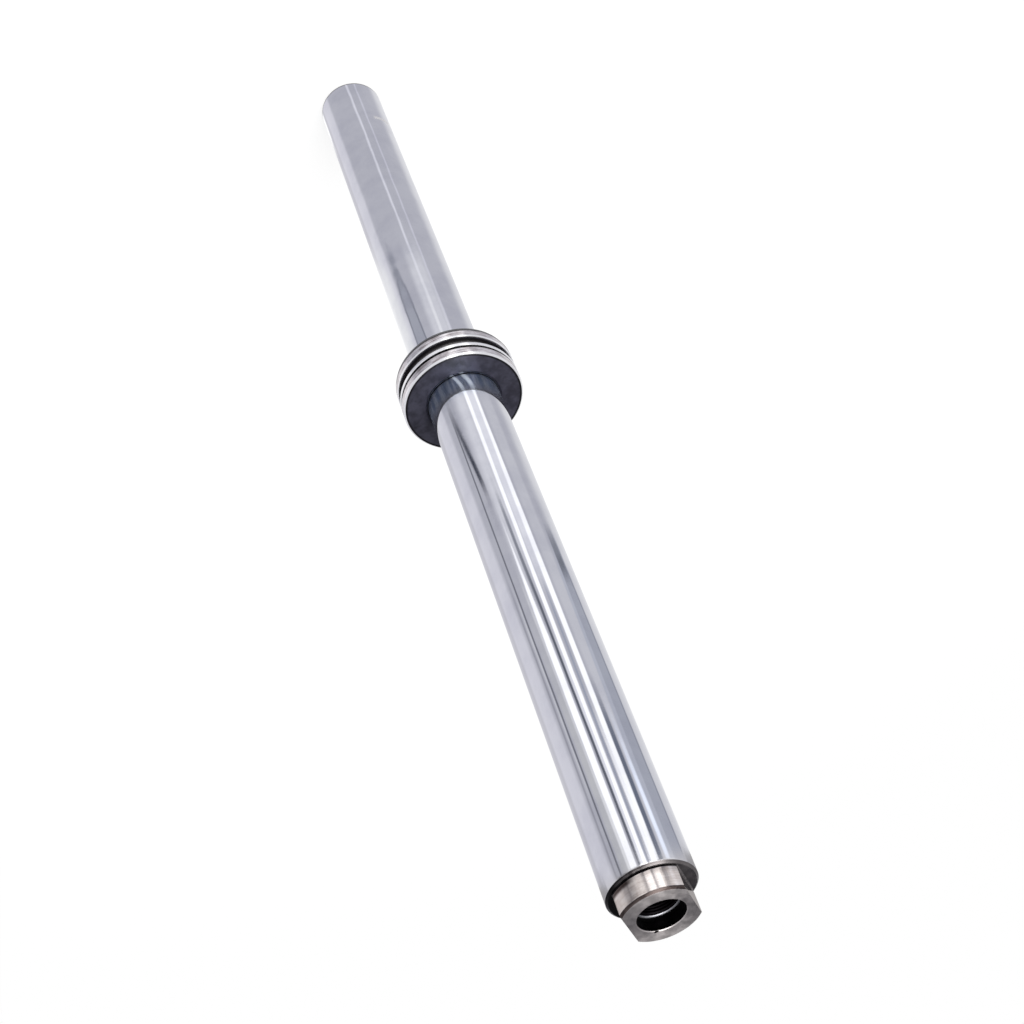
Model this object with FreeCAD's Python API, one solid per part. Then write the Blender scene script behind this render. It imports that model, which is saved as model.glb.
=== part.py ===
import FreeCAD, Part
import math
import os

# Double-ended hydraulic piston rod: a ground, chrome-plated bar with a grooved piston shrunk on at mid-length.
# Frame: +Z runs along the rod, from the plain flat end at Z = 0 up to the spigot. Sizes are in millimetres.

# Driving dimensions of the rod's bar
rod_diameter = 45.0
shoulder_height = 722.0
far_end_chamfer = 0.8
chrome_end_chamfer = 1.2

# Driving dimensions of the seat that the piston is shrunk on: a little larger than the plated bar, so that the
# ring passes freely along the bar, and a little longer than the ring
seat_step = 0.25
seat_overrun = 0.5

# Driving dimensions of the spigot, turned down from the bar and milled with two parallel flats
spigot_step = 1.5
spigot_length = 13.0
spigot_chamfer = 1.2
relief_width = 1.3
relief_depth = 0.5
relief_root_radius = 0.3
across_flats = 32.0
flat_root_radius = 0.8
flat_edge_break = 0.3

# Driving dimensions of the threaded socket in the spigot's end face
thread_diameter = 22.0
thread_pitch = 1.5
thread_depth = 38.0
thread_mouth_relief = 0.4
socket_clearance = 1.0
socket_depth = 7.5
socket_edge_break = 0.4

# Driving dimensions of the centre hole that the bar was turned and ground on, in its plain end
centre_pilot_diameter = 5.0
centre_mouth_diameter = 10.6
centre_pilot_length = 6.0

# Driving dimensions of the piston, listed from its far face to its near one
piston_diameter = 74.8
piston_seat_height = 334.4
lead_in_length = 2.4
lead_in_drop = 0.8
lower_land_width = 6.1
guide_groove_width = 6.3
guide_groove_depth = 2.5
middle_land_width = 2.4
ring_groove_width = 2.2
ring_groove_depth = 2.8
upper_land_width = 6.2
rim_chamfer = 1.0
groove_edge_break = 0.4
bore_mouth_chamfer = 1.2

# Angles that the cutting tools give
drill_point_angle = 118.0
centre_drill_angle = 60.0

# How far a cutting tool runs past the surface that it cuts
tool_overrun = 5.0

# Sizes that follow from the driving ones
rod_radius = rod_diameter / 2
chrome_top = shoulder_height - chrome_end_chamfer
spigot_radius = rod_radius - spigot_step
spigot_top = shoulder_height + spigot_length
thread_radius = thread_diameter / 2
thread_core_radius = thread_radius - 5 / 8 * thread_pitch * math.cos(math.radians(30))
seat_radius = rod_radius + seat_step
piston_radius = piston_diameter / 2
lower_land_bottom = piston_seat_height + lead_in_length
guide_groove_bottom = lower_land_bottom + lower_land_width
ring_groove_bottom = guide_groove_bottom + guide_groove_width + middle_land_width
piston_near_face = ring_groove_bottom + ring_groove_width + upper_land_width


def rounded_wire(corners):
    """Closed wire in the XZ plane through corners (x, z, radius), each rounded by its own radius."""
    points = [FreeCAD.Vector(x, 0, z) for x, z, radius in corners]
    arcs = []
    for index, (x, z, radius) in enumerate(corners):
        point = points[index]
        to_last = points[index - 1] - point
        to_next = points[(index + 1) % len(points)] - point
        shorter_run = min(to_last.Length, to_next.Length)
        to_last.normalize()
        to_next.normalize()
        half_angle = to_last.getAngle(to_next) / 2
        setback = min(radius / math.tan(half_angle), shorter_run * 0.45)
        inward = (to_last + to_next).normalize() if setback > 0 else FreeCAD.Vector()
        depth = setback * (1 / math.cos(half_angle) - math.tan(half_angle))
        arcs.append((point + to_last * setback, point + inward * depth, point + to_next * setback))
    edges = []
    for index, (start, middle, end) in enumerate(arcs):
        if corners[index][2] > 0:
            edges.append(Part.Arc(start, middle, end).toShape())
        following_start = arcs[(index + 1) % len(arcs)][0]
        edges.append(Part.LineSegment(end, following_start).toShape())
    return Part.Wire(edges)


def turned(corners):
    """Solid of revolution about Z from corners (radius, height, corner radius)."""
    section = Part.Face(rounded_wire(corners))
    return section.revolve(FreeCAD.Vector(0, 0, 0), FreeCAD.Vector(0, 0, 1), 360)


def drill_point_length(radius):
    return radius / math.tan(math.radians(drill_point_angle / 2))


def turned_bar():
    """The bar as it leaves the lathe: chamfered plain end, piston seat, shoulder, relief and spigot."""
    seat_bottom = piston_seat_height - seat_overrun
    seat_top = piston_near_face + seat_overrun
    relief_radius = spigot_radius - relief_depth
    relief_top = shoulder_height + relief_width
    return turned([
        (0, 0, 0),
        (rod_radius - far_end_chamfer, 0, 0),
        (rod_radius, far_end_chamfer, 0),
        (rod_radius, seat_bottom - seat_step, 0),
        (seat_radius, seat_bottom, 0),
        (seat_radius, seat_top, 0),
        (rod_radius, seat_top + seat_step, 0),
        (rod_radius, chrome_top, 0),
        (rod_radius - chrome_end_chamfer, shoulder_height, 0),
        (relief_radius, shoulder_height, relief_root_radius),
        (relief_radius, relief_top - relief_depth, relief_root_radius),
        (spigot_radius, relief_top, 0),
        (spigot_radius, spigot_top - spigot_chamfer, 0),
        (spigot_radius - spigot_chamfer, spigot_top, 0),
        (0, spigot_top, 0),
    ])


def flat_cutter():
    """Milling cutter's sweep that leaves one flat on the +X side, with a rounded root at the shoulder."""
    flat = across_flats / 2
    outside = rod_radius + tool_overrun
    above = spigot_top + tool_overrun
    sweep = rounded_wire([
        (outside, shoulder_height, 0),
        (flat, shoulder_height, flat_root_radius),
        (flat, spigot_top - flat_edge_break, 0),
        (flat - flat_edge_break, spigot_top, 0),
        (flat - flat_edge_break, above, 0),
        (outside, above, 0),
    ])
    cutter = Part.Face(sweep).extrude(FreeCAD.Vector(0, 2 * outside, 0))
    cutter.translate(FreeCAD.Vector(0, -outside, 0))
    return cutter


def socket_cutter():
    """Counterbore, thread mouth, thread core and drill point of the blind hole in the spigot."""
    socket_radius = thread_radius + socket_clearance
    ledge = spigot_top - socket_depth
    mouth_radius = thread_radius + thread_mouth_relief
    core_top = ledge - (mouth_radius - thread_core_radius)
    core_bottom = ledge - thread_depth
    return turned([
        (0, core_bottom - drill_point_length(thread_core_radius), 0),
        (thread_core_radius, core_bottom, 0),
        (thread_core_radius, core_top, 0),
        (mouth_radius, ledge, 0),
        (socket_radius, ledge, 0),
        (socket_radius, spigot_top - socket_edge_break, 0),
        (socket_radius + socket_edge_break, spigot_top, 0),
        (socket_radius + socket_edge_break, spigot_top + tool_overrun, 0),
        (0, spigot_top + tool_overrun, 0),
    ])


def centre_hole_cutter():
    """Centre drill's hole in the plain end: a cone that carries the lathe centre, and a pilot."""
    pilot_radius = centre_pilot_diameter / 2
    mouth_radius = centre_mouth_diameter / 2
    cone_length = (mouth_radius - pilot_radius) / math.tan(math.radians(centre_drill_angle / 2))
    pilot_end = cone_length + centre_pilot_length
    return turned([
        (0, -tool_overrun, 0),
        (mouth_radius, -tool_overrun, 0),
        (mouth_radius, 0, 0),
        (pilot_radius, cone_length, 0),
        (pilot_radius, pilot_end, 0),
        (0, pilot_end + drill_point_length(pilot_radius), 0),
    ])


def rod():
    flat = flat_cutter()
    opposite_flat = flat.copy()
    opposite_flat.rotate(FreeCAD.Vector(0, 0, 0), FreeCAD.Vector(0, 0, 1), 180)
    return turned_bar().cut([flat, opposite_flat, socket_cutter(), centre_hole_cutter()])


def groove(bottom, width, depth):
    """Corners of one ring groove in the piston's rim, with broken edges."""
    floor_radius = piston_radius - depth
    top = bottom + width
    return [
        (piston_radius, bottom - groove_edge_break, 0),
        (piston_radius - groove_edge_break, bottom, 0),
        (floor_radius, bottom, 0),
        (floor_radius, top, 0),
        (piston_radius - groove_edge_break, top, 0),
        (piston_radius, top + groove_edge_break, 0),
    ]


def piston():
    """Ring shrunk on the bar: its bore closes on the seat's own surface, and both mouths are chamfered."""
    mouth_radius = seat_radius + bore_mouth_chamfer
    return turned([
        (mouth_radius, piston_seat_height, 0),
        (piston_radius - lead_in_drop, piston_seat_height, 0),
        (piston_radius, lower_land_bottom, 0),
        *groove(guide_groove_bottom, guide_groove_width, guide_groove_depth),
        *groove(ring_groove_bottom, ring_groove_width, ring_groove_depth),
        (piston_radius, piston_near_face - rim_chamfer, 0),
        (piston_radius - rim_chamfer, piston_near_face, 0),
        (mouth_radius, piston_near_face, 0),
        (seat_radius, piston_near_face - bore_mouth_chamfer, 0),
        (seat_radius, piston_seat_height + bore_mouth_chamfer, 0),
    ])


def main():
    os.makedirs("parts", exist_ok=True)
    for name, shape in {"rod": rod(), "piston": piston()}.items():
        solid = shape.Solids[0]
        solid.exportStep(f"parts/{name}.step")
        box = solid.BoundBox
        print(name, "valid", solid.isValid(), "solids", len(shape.Solids), "faces", len(solid.Faces))
        print(f"  volume {solid.Volume / 1000:.2f} cm3, height {box.ZMin:.2f} to {box.ZMax:.2f} mm")


main()
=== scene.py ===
# %% [markdown]
# # A chrome piston rod, dressed for the camera
# The part is the rod of a double-ended hydraulic cylinder: a ground bar with a hard chrome plate, a
# black-oxidised piston shrunk on at mid-length, and a spigot with two flats and a threaded socket.
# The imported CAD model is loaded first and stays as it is. It is the frame that every piece is built on.

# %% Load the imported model
import bpy
import math
from mathutils import Matrix, Vector


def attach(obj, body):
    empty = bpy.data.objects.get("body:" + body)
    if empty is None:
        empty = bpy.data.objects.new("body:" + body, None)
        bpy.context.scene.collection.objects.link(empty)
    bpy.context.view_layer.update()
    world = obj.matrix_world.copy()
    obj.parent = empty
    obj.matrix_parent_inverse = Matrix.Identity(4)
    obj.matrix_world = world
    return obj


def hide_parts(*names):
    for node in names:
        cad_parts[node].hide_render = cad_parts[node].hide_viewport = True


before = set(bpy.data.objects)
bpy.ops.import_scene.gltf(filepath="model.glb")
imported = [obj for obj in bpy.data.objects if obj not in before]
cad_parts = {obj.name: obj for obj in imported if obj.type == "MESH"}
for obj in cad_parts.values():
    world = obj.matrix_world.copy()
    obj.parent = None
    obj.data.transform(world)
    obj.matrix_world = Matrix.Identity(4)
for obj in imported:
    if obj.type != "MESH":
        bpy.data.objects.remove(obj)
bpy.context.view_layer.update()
MM = 0.001

# %% [markdown]
# ## The camera
# A pinhole camera was fitted to the outlines of the bar and the piston in the photograph. It looks down along
# the bar from a little over a metre, with the spigot end towards it, which gives the strong perspective.
# The frame is square, so one focal length and three directions say all of it.

# %% Set the camera
CAMERA_PLACE = Vector((89.1, 666.3, 1127.3)) * MM
CAMERA_RIGHT = Vector((0.89169, -0.37224, 0.25756))
CAMERA_DOWN = Vector((-0.44338, -0.60367, 0.66257))
CAMERA_FORWARD = Vector((-0.09115, -0.70500, -0.70333))

camera_data = bpy.data.cameras.new("photo_camera")
camera_data.sensor_width = 36.0
camera_data.lens = 58.86
camera_data.clip_end = 50
camera = bpy.data.objects.new("photo_camera", camera_data)
turn = Matrix((CAMERA_RIGHT, -CAMERA_DOWN, -CAMERA_FORWARD)).transposed()
camera.matrix_world = Matrix.Translation(CAMERA_PLACE) @ turn.to_4x4()
bpy.context.scene.collection.objects.link(camera)
bpy.context.scene.camera = camera
bpy.context.scene.view_settings.view_transform = "Standard"
print("camera lens in mm:", camera_data.lens, "place in metres:", tuple(round(v, 4) for v in CAMERA_PLACE))

# %% [markdown]
# ## Small helpers for materials
# Colours are picked as a painter would name them, as sRGB hex values, but the renderer works in linear light.
# One function turns them over. A second one adds a node of any kind, with its settings and links, in one
# call, so that each material below reads as a list of what the finish is made of. A socket is given by its
# name, or by its number where the node's own names repeat, so that i0 is its first input. In a Math node
# these are the numbers to reckon with. In a Map Range they are the value, the two ends that it comes from and
# the two that it goes to, and in a colour Mix i0 is the share, i6 the first colour and i7 the second. Where a
# whole node is handed over, its first output that is in use gets linked. The kinds and settings that come
# back again and again have names in capitals.

# %% Colours in linear light
def linear(hex_colour, gain=1.0):
    """sRGB hex value as a linear colour with alpha 1, made brighter by gain."""
    channels = [int(hex_colour[i:i + 2], 16) / 255 for i in (1, 3, 5)]
    light = [c / 12.92 if c <= 0.04045 else ((c + 0.055) / 1.055) ** 2.4 for c in channels]
    return (*[value * gain for value in light], 1.0)


WHITE = linear("#FFFFFF")
print("white in linear light:", WHITE[:3], "middle grey:", round(linear("#808080")[0], 3))

# %% One function for every node
MATH = "ShaderNodeMath"
ABSOLUTE = {"operation": "ABSOLUTE"}
ADD = {"operation": "ADD"}
ARCTAN2 = {"operation": "ARCTAN2"}
COSINE = {"operation": "COSINE"}
DIVIDE = {"operation": "DIVIDE"}
EXPONENT = {"operation": "EXPONENT"}
MAXIMUM = {"operation": "MAXIMUM"}
MINIMUM = {"operation": "MINIMUM"}
MULTIPLY = {"operation": "MULTIPLY"}
MULTIPLY_ADD = {"operation": "MULTIPLY_ADD"}
SQRT = {"operation": "SQRT"}
SUBTRACT = {"operation": "SUBTRACT"}
VECTOR_MATH = "ShaderNodeVectorMath"
LENGTH = {"operation": "LENGTH"}
RANGE = "ShaderNodeMapRange"
SOFT_STEP = {"interpolation_type": "SMOOTHSTEP"}
MIX = "ShaderNodeMix"
COLOUR_MIX = {"data_type": "RGBA"}
NOISE = "ShaderNodeTexNoise"
ALONG_A_LINE = {"noise_dimensions": "1D"}
MAPPING = "ShaderNodeMapping"
MIX_SHADER = "ShaderNodeMixShader"
TANGENT = "ShaderNodeTangent"
ROUND_THE_BAR = {"direction_type": "RADIAL", "axis": "Z"}


def add(tree, kind, settings=None, **sockets):
    """Adds a node. settings are its properties; sockets are values, or nodes or their outputs to link."""
    node = tree.nodes.new(kind)
    for name, value in (settings or {}).items():
        setattr(node, name, value)
    for name, value in sockets.items():
        key = int(name[1:]) if name[1:].isdigit() else name.replace("_", " ")
        if isinstance(value, bpy.types.Node):
            value = next(output for output in value.outputs if output.enabled)
        if isinstance(value, bpy.types.NodeSocket):
            tree.links.new(value, node.inputs[key])
        else:
            node.inputs[key].default_value = value
    return node


def new_material(name):
    """An empty material and its node tree."""
    material = bpy.data.materials.new(name)
    material.use_nodes = True
    material.node_tree.nodes.clear()
    return material, material.node_tree


print("materials so far:", len(bpy.data.materials))

# %% [markdown]
# ## What the chrome mirrors
# Polished chrome has hardly any look of its own: it shows the room. So the room is half of the finish. The
# wall of a standing bar, seen from above, mirrors what lies below the horizon, and a point at wall angle a,
# counted from the side that faces the camera, mirrors what lies at twice that angle. The room is therefore
# described in two numbers: the wall angle in degrees, and the station, which is the height on the bar, in
# millimetres, at which the photograph's camera sees it. Tube lamps, dark gaps and dark screens are laid on a
# pale ground, one by one, as a photographer sets them up. A lamp is an upright streak, because the bar is
# long and straight. Only mirror rays see this room. The camera sees plain white behind the object, and matt
# surfaces get an even light, so a colour renders about as it is written. Modelled lamps and screens would
# cast light and shade of their own on the steel, which is why they are painted in the world and not built.
# Places and tones were adjusted against tables of the render's tones and the photograph's, read at
# the same wall angles and stations.

# %% Directions of the room
world = bpy.data.worlds.new("studio_room")
bpy.context.scene.world = world
world.use_nodes = True
room = world.node_tree
room.nodes.clear()

BAR_RADIUS = 22.5 * MM
camera_azimuth = math.atan2(CAMERA_PLACE.y, CAMERA_PLACE.x)
camera_reach = math.hypot(CAMERA_PLACE.x, CAMERA_PLACE.y) - BAR_RADIUS
direction = add(room, "ShaderNodeTexCoord").outputs["Generated"]
turned_direction = add(room, "ShaderNodeVectorRotate", {"rotation_type": "Z_AXIS"}, Vector=direction,
                       Angle=-camera_azimuth)
parts = add(room, "ShaderNodeSeparateXYZ", Vector=turned_direction).outputs
LEAST_LEVEL = 0.001
azimuth = add(room, MATH, ARCTAN2, i0=parts[1], i1=parts[0])
wall_angle = add(room, MATH, MULTIPLY, i0=azimuth, i1=90 / math.pi)
level = add(room, MATH, SQRT,
            i0=add(room, MATH, SUBTRACT, i0=1.0, i1=add(room, MATH, MULTIPLY, i0=parts[2], i1=parts[2])))
slope = add(room, MATH, DIVIDE, i0=parts[2], i1=add(room, MATH, MAXIMUM, i0=level, i1=LEAST_LEVEL))
station = add(room, MATH, MULTIPLY_ADD, i0=slope, i1=camera_reach / MM, i2=CAMERA_PLACE.z / MM)
print("camera azimuth in degrees:", round(math.degrees(camera_azimuth), 2))

# %% The pale ground of the room
GROUND_HEX = "#D1D1D9"
ALL_BELOW = -900000
ALL_ABOVE = 900000
room_colour = linear(GROUND_HEX)
print("ground of the room:", GROUND_HEX)

# %% Lamps, gaps and dark screens
# Each row: name, colour, gain, wall angle, half width, edge softness, from and to station, softness of the
# ends. lean slants a shape, swing and swing_length bend it sideways near its start, and spread widens it with
# the station until it is the widest. A gain above 1 makes a lamp brighter than white paper.
SHAPES = [
    ("paper_on_the_left", "#F0F0F3", 1.0, -90.0, 33.0, 16.0, ALL_BELOW, ALL_ABOVE, 500, {}),
    ("corner_on_the_right", "#DEDDE3", 1.0, 72.0, 20.0, 8.0, ALL_BELOW, ALL_ABOVE, 500, {}),
    ("light_wall_on_the_right", "#F2F1F8", 1.0, 52.0, 12.0, 7.5, ALL_BELOW, ALL_ABOVE, 500, {}),
    ("white_paper_below", "#FFFFFF", 1.45, -11.0, 34.0, 30.0, -90000, -900, 500, {}),
    ("far_light_middle", "#FAFAFF", 0.94, -8.0, 13.0, 10.0, 230, 372, 80, {}),
    ("far_light_right", "#FFFFFF", 1.08, 68.0, 20.0, 16.0, 230, 372, 80, {}),
    ("far_edge_right", "#FFFFFF", 1.25, 81.0, 8.0, 8.0, -400, 75, 40, {}),
    ("faint_far_tube_one", "#F0F0FA", 0.94, -23.5, 1.4, 2.6, -400, 372, 60, {}),
    ("faint_far_tube_two", "#F8F8FF", 1.04, -7.5, 1.8, 2.8, -400, 372, 60, {}),
    ("far_tube_one_brighter", "#FAFAFF", 1.00, -22.0, 1.8, 2.6, 275, 372, 110, {}),
    ("far_tube_two_brighter", "#FFFFFF", 1.15, -7.5, 2.2, 2.8, 275, 372, 110, {}),
    ("light_wall_left", "#E3E3E9", 1.00, -34.0, 8.0, 6.0, 385, 2600, 30, {}),
    ("light_wall_middle", "#FAFAFF", 1.00, 4.0, 8.0, 13.0, 345, 530, 60, {}),
    ("light_between_tubes", "#F0F0F5", 1.25, -13.5, 5.0, 3.0, 345, 535, 50, {}),
    ("tube_one", "#FFFFFF", 1.55, -20.6, 1.7, 2.2, 345, 2600, 40,
     {"lean": 0.006, "spread": 0.010, "widest": 3.5}),
    ("tube_one_near", "#FFFFFF", 1.45, -14.0, 2.2, 2.4, 645, 2600, 60, {}),
    ("tube_two", "#FFFFFF", 1.60, -2.5, 2.6, 2.4, 345, 2600, 40, {"swing": -4.8, "swing_length": 260}),
    ("tube_three", "#FFFFFF", 1.60, 10.8, 0.4, 2.0, 500, 2600, 30, {"spread": 0.045, "widest": 4.4}),
    ("light_beyond_tube_three", "#DCDCDE", 1.00, 21.0, 4.2, 2.4, 590, 2600, 150, {}),
    ("tube_three_skirt", "#F2F2F5", 1.00, 16.2, 1.5, 2.0, 540, 2600, 30, {}),
    ("tube_three_wider", "#FFFFFF", 1.12, 15.8, 1.6, 2.0, 675, 2600, 30, {}),
    ("light_beside_tube_two", "#FAFAFF", 1.12, -0.2, 1.6, 1.6, 590, 2600, 60, {}),
    ("grey_screen", "#D1D4DF", 1.0, -45.0, 3.0, 2.0, 530, 900, 16,
     {"lean": 0.030, "spread": 0.020, "widest": 6}),
    ("blue_gap_glow", "#EDF3FF", 1.50, -32.6, 2.5, 3.0, 655, 900, 70, {}),
    ("dark_screen", "#BFC2CD", 1.0, -52.2, 6.0, 2.0, 510, 900, 10,
     {"lean": 0.014, "spread": 0.014, "widest": 8}),
    ("dark_screen_top", "#83868F", 1.0, -52.0, 5.0, 1.5, 511, 522, 5, {}),
    ("dark_screen_shelf", "#757983", 1.0, -52.5, 6.0, 1.5, 526, 542, 7, {}),
    ("dark_screen_edge", "#A8ABB6", 1.0, -58.0, 1.4, 1.6, 515, 900, 10, {}),
    ("gap_beside_tube_one", "#7A8192", 1.0, -25.3, 2.8, 2.4, 628, 900, 34, {"lean": 0.020}),
    ("gap_between_tubes", "#B8BDCC", 1.0, -12.6, 1.3, 2.0, 545, 900, 30, {"lean": 0.028}),
    ("curved_gap_start", "#2E3444", 1.0, 12.0, 2.9, 1.8, 396, 460, 16, {"swing": 15.5, "swing_length": 60}),
    ("curved_gap_middle", "#9DA0A9", 1.0, 3.6, 2.0, 2.4, 474, 550, 24, {}),
    ("curved_gap_end", "#70747F", 1.0, 2.7, 1.5, 1.8, 535, 900, 40, {}),
    ("thin_gap", "#85878F", 1.0, 28.5, 1.1, 1.3, 402, 900, 10, {}),
    ("light_line", "#EAEAEE", 1.0, 31.3, 0.8, 1.2, 545, 668, 20, {}),
    ("thin_gap_echo", "#B6B6BE", 1.0, 35.5, 1.3, 1.6, 540, 900, 60, {}),
]


def laid_on(colour, shape):
    """The room's colour with one more shape laid on it. The mix is labelled with the shape's name."""
    name, tone, gain, angle, half_width, soft, low, high, end_soft, more = shape
    run = add(room, MATH, MAXIMUM, i0=add(room, MATH, SUBTRACT, i0=station, i1=low), i1=0.0)
    centre = angle
    if "lean" in more:
        centre = add(room, MATH, MULTIPLY_ADD, i0=run, i1=more["lean"], i2=angle)
    if "swing" in more:
        fall = add(room, MATH, EXPONENT, i0=add(room, MATH, MULTIPLY, i0=run, i1=-1 / more["swing_length"]))
        centre = add(room, MATH, MULTIPLY_ADD, i0=fall, i1=more["swing"], i2=angle)
    if "spread" in more:
        wider = add(room, MATH, MULTIPLY_ADD, i0=run, i1=more["spread"], i2=half_width)
        half_width = add(room, MATH, MINIMUM, i0=wider, i1=more["widest"])
    aside = add(room, MATH, ABSOLUTE, i0=add(room, MATH, SUBTRACT, i0=wall_angle, i1=centre))
    beyond = add(room, MATH, SUBTRACT, i0=aside, i1=half_width)
    cover = add(room, RANGE, SOFT_STEP, i0=beyond, i1=-soft / 2, i2=soft / 2, i3=1.0, i4=0.0)
    half_end = end_soft / 2
    starts = add(room, RANGE, SOFT_STEP, i0=station, i1=low - half_end, i2=low + half_end)
    ends = add(room, RANGE, SOFT_STEP, i0=station, i1=high - half_end, i2=high + half_end, i3=1.0, i4=0.0)
    share = add(room, MATH, MULTIPLY, i0=add(room, MATH, MULTIPLY, i0=cover, i1=starts), i1=ends)
    return add(room, MIX, {**COLOUR_MIX, "label": name}, i0=share, i6=colour, i7=linear(tone, gain))


for shape in SHAPES:
    room_colour = laid_on(room_colour, shape)
print("shapes in the room:", len(SHAPES))

# %% [markdown]
# ### The spigot mirrors shapes of its own
# The turned spigot is nearest to the camera, and it is dimmer steel, so six more shapes are laid for its
# stations alone: shade all round, a grey wall in front of it, paler on the left, two tube lamps close together
# and one dark screen on the right. Their greys and angles are simplified from a longer list of tones that had
# been fitted to the photograph's tones round the spigot. Bare steel swallows about half of the light, so one
# gain makes them all brighter.

# %% What the spigot's wall mirrors
# Each row: name, colour, wall angle, half width, edge softness.
SPIGOT_SHAPES = [
    ("spigot_shade_behind", "#7C7A7A", 0.0, 200.0, 2.0),
    ("spigot_wall", "#A6A4A4", -2.0, 58.5, 4.0),
    ("spigot_wall_on_the_left", "#BAB9B9", -34.0, 8.0, 10.0),
    ("spigot_tube_one", "#FFFFFF", -13.6, 4.3, 2.3),
    ("spigot_tube_two", "#FFFFFF", -2.15, 4.75, 2.4),
    ("spigot_dark_screen", "#6A6868", 28.0, 7.5, 10.0),
]
SPIGOT_GAIN = 2.1
SPIGOT_STATIONS = (723.75, 810, 2.5)
for name, tone, angle, half_width, soft in SPIGOT_SHAPES:
    shape = (name, tone, SPIGOT_GAIN, angle, half_width, soft, *SPIGOT_STATIONS, {})
    room_colour = laid_on(room_colour, shape)
print("shapes that the spigot mirrors:", len(SPIGOT_SHAPES))

# %% [markdown]
# ### An arch, and the room overhead
# Between the piston and the far end, the plate mirrors a tall grey arch with a darker rim. It is half an
# ellipse, so it is worked out from two distances, across and along, and not from straight sides like the
# shapes before. The upper half of the room is seen by faces that look up, such as the piston's and the
# spigot's end face, and in views from low down. It has two lamps of its own, and is darker behind, so that
# the bar still looks like metal from there.

# %% An arch that the far half of the bar mirrors
ARCH_MIDDLE = 29.5
ARCH_HALF_WIDTH = 10.5
ARCH_FOOT = 345
ARCH_REACH = 112
ARCH_RIM = 0.93
across = add(room, MATH, MULTIPLY, i0=add(room, MATH, SUBTRACT, i0=wall_angle, i1=ARCH_MIDDLE),
             i1=1 / ARCH_HALF_WIDTH)
down = add(room, MATH, MULTIPLY, i0=add(room, MATH, SUBTRACT, i0=station, i1=ARCH_FOOT), i1=1 / ARCH_REACH)
arch_squared = add(room, MATH, ADD, i0=add(room, MATH, MULTIPLY, i0=across, i1=across),
                   i1=add(room, MATH, MULTIPLY, i0=down, i1=down))
arch = add(room, MATH, SQRT, i0=arch_squared)
from_rim = add(room, MATH, ABSOLUTE, i0=add(room, MATH, SUBTRACT, i0=arch, i1=ARCH_RIM))
arch_inside = add(room, RANGE, SOFT_STEP, i0=arch, i1=0.98, i2=1.08, i3=1.0, i4=0.0)
arch_rim = add(room, RANGE, SOFT_STEP, i0=from_rim, i1=0.06, i2=0.14, i3=1.0, i4=0.0)
arch_end = add(room, RANGE, SOFT_STEP, i0=station, i1=366, i2=380, i3=1.0, i4=0.0)
for area, tone in ((arch_inside, "#BCBEC8"), (arch_rim, "#9699A4")):
    room_colour = add(room, MIX, COLOUR_MIX, i0=add(room, MATH, MULTIPLY, i0=area, i1=arch_end),
                      i6=room_colour, i7=linear(tone))
print("arch in degrees:", 2 * ARCH_HALF_WIDTH, "wide, down to station", ARCH_FOOT - ARCH_REACH)

# %% The upper half of the room, and who sees what
above = add(room, RANGE, SOFT_STEP, i0=parts[2], i1=-0.10, i2=0.25)
UPPER_LAMPS = ((-19.0, 2.4), (-5.5, 2.6))
UPPER_LAMP_EDGE = 1.2
lamp_share = 0.0
for middle, half in UPPER_LAMPS:
    aside = add(room, MATH, ABSOLUTE, i0=add(room, MATH, SUBTRACT, i0=wall_angle, i1=middle))
    one_lamp = add(room, RANGE, SOFT_STEP, i0=aside, i1=half - UPPER_LAMP_EDGE, i2=half + UPPER_LAMP_EDGE,
                   i3=1.0, i4=0.0)
    lamp_share = add(room, MATH, MAXIMUM, i0=lamp_share, i1=one_lamp)
behind = add(room, RANGE, SOFT_STEP, i0=add(room, MATH, ABSOLUTE, i0=wall_angle), i1=55.0, i2=76.0)
upper_ground = add(room, MIX, COLOUR_MIX, i0=behind, i6=linear("#DADAE0"), i7=linear("#5A5B62"))
upper_colour = add(room, MIX, COLOUR_MIX, i0=lamp_share, i6=upper_ground, i7=linear("#FFFFFF", 2.0))
room_colour = add(room, MIX, COLOUR_MIX, i0=above, i6=room_colour, i7=upper_colour)

EVEN_LIGHT = 0.80
light_path = add(room, "ShaderNodeLightPath").outputs
even = add(room, "ShaderNodeBackground", Color=WHITE, Strength=EVEN_LIGHT)
white = add(room, "ShaderNodeBackground", Color=WHITE, Strength=1.0)
mirrored = add(room, "ShaderNodeBackground", Color=room_colour, Strength=1.0)
for_matt = add(room, MIX_SHADER, Fac=light_path["Is Camera Ray"], i1=even, i2=white)
for_all = add(room, MIX_SHADER, Fac=light_path["Is Glossy Ray"], i1=for_matt, i2=mirrored)
add(room, "ShaderNodeOutputWorld", Surface=for_all)
print("nodes in the room:", len(room.nodes))

# %% [markdown]
# ## Floor and lamp
# The floor is a white sheet that keeps the part's soft shadow. The chrome looks past it into the room, or the
# whole wall would mirror nothing but white paper. To the camera the sheet glows a little, more and more with
# the distance from the part, so that it turns to plain white without an edge. One wide soft box hangs above.

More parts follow.
